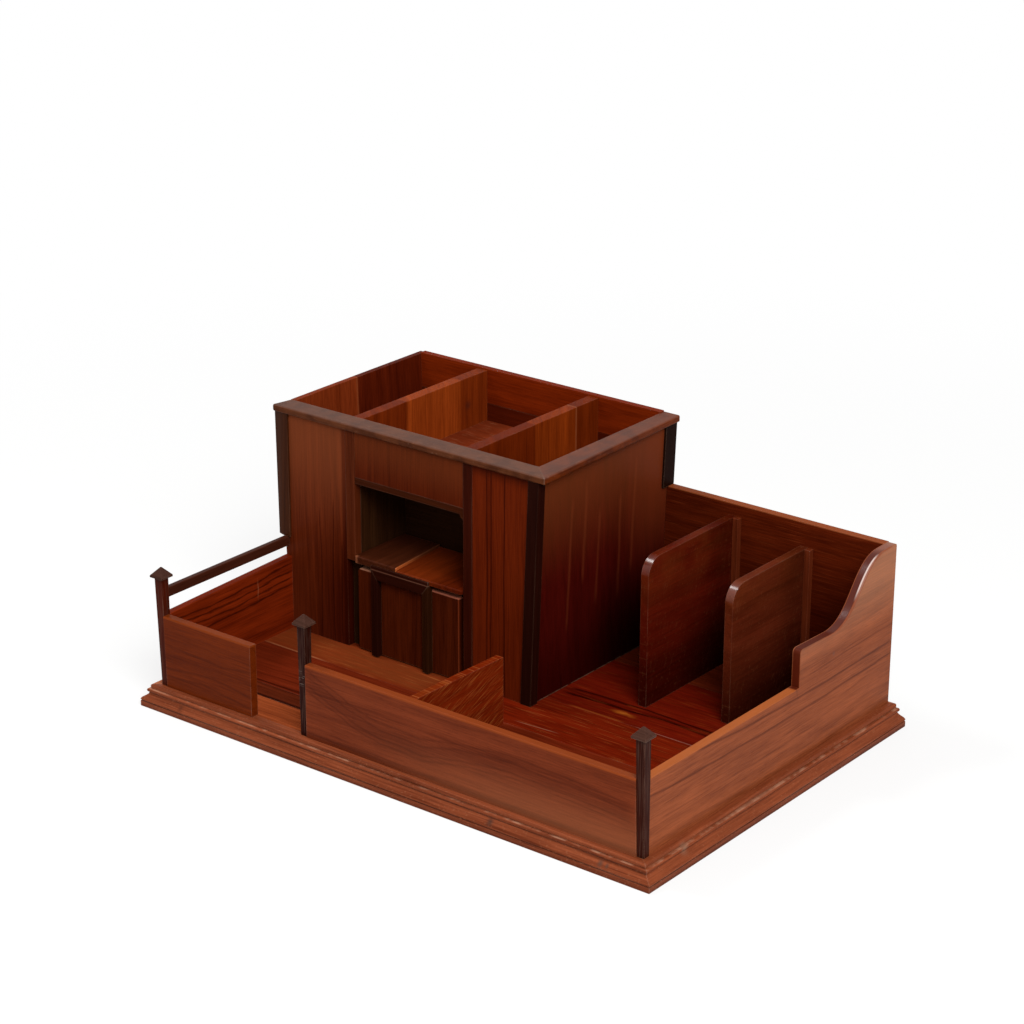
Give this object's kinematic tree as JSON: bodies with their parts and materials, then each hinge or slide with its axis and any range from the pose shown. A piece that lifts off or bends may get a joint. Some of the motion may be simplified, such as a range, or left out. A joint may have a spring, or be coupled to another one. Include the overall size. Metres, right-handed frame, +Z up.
{
  "type": "desk organizer",
  "caption": "Wooden desk organizer: walled tray with gate, tower of pen wells over a niche with a lift lid and a drawer, and a letter rack.",
  "frame": {"origin": "centre of the base mouldings' footprint, at the surface that the object stands on", "axes": "+X to the right along the front, +Y to the back, +Z up"},
  "size_m": [0.4222, 0.2936, 0.1816],
  "materials": {
    "base_wood": "red-brown hardwood, old satin varnish",
    "floor_wood": "orange-red hardwood, old satin varnish",
    "wall_wood": "red-brown hardwood, old satin varnish",
    "panel_wood": "light red-brown hardwood with dark streaks, satin varnish",
    "tower_wood": "red-brown hardwood, upright grain, satin varnish",
    "inner_wood": "brown hardwood, thin varnish",
    "dark_wood": "near-black hardwood, satin varnish",
    "drawer_wood": "dark red hardwood, satin varnish",
    "lid_wood": "orange-brown hardwood, satin varnish",
    "plain_wood": "plain brown hardwood, thin varnish",
    "pin_steel": "plain steel wire"
  },
  "bodies": {
    "carcass": {"back_panel": "wall_wood", "base_moulding_back": "base_wood", "base_moulding_front": "base_wood", "base_moulding_left": "base_wood", "base_moulding_right": "base_wood", "drawer_guides": "plain_wood", "floor_board_1": "floor_wood", "floor_board_2": "floor_wood", "floor_board_3": "floor_wood", "floor_board_4": "floor_wood", "floor_board_5": "floor_wood", "floor_board_6": "floor_wood", "front_strip_left": "dark_wood", "front_strip_right": "dark_wood", "front_wall_left": "wall_wood", "front_wall_right": "wall_wood", "lid_cleats": "plain_wood", "lintel_board": "tower_wood", "niche_back": "inner_wood", "niche_cheek_left": "inner_wood", "niche_cheek_right": "inner_wood", "niche_head": "tower_wood", "partition_left": "inner_wood", "partition_right": "inner_wood", "post_caps": "dark_wood", "post_gate": "dark_wood", "post_left": "dark_wood", "post_right": "dark_wood", "rack_cleats": "plain_wood", "rack_divider_left": "wall_wood", "rack_divider_right": "wall_wood", "rim_front": "dark_wood", "rim_right": "dark_wood", "side_panel_right": "panel_wood", "side_rail": "dark_wood", "side_wall_left": "wall_wood", "tower_back_lower": "inner_wood", "tower_back_upper": "inner_wood", "tower_corner_back": "dark_wood", "tower_corner_left": "dark_wood", "tower_corner_right": "dark_wood", "tower_front_board_left": "tower_wood", "tower_front_board_right": "tower_wood", "tower_wall_left": "inner_wood", "tower_wall_right": "tower_wood", "tray_divider": "wall_wood", "tray_floor": "inner_wood"},
    "drawer": {"drawer_front": "drawer_wood", "doorway_stile_left": "dark_wood", "doorway_stile_right": "dark_wood", "doorway_head": "dark_wood", "drawer_side_left": "plain_wood", "drawer_side_right": "plain_wood", "drawer_back": "plain_wood", "drawer_bottom": "plain_wood"},
    "lid": {"lid_board_left": "lid_wood", "lid_board_right": "lid_wood", "lid_battens": "plain_wood", "lid_pins": "pin_steel"}
  },
  "joints": [
    {"name": "drawer_slide", "type": "slide", "parent": "carcass", "child": "drawer", "axis": [0, -1, 0], "range_m": [0, 0.1]},
    {"name": "lid_hinge", "type": "hinge", "parent": "carcass", "child": "lid", "pos_m": [-0.0871, 0.0357, 0.0831], "axis": [-1, 0, 0], "range_deg": [0, 91]}
  ]
}
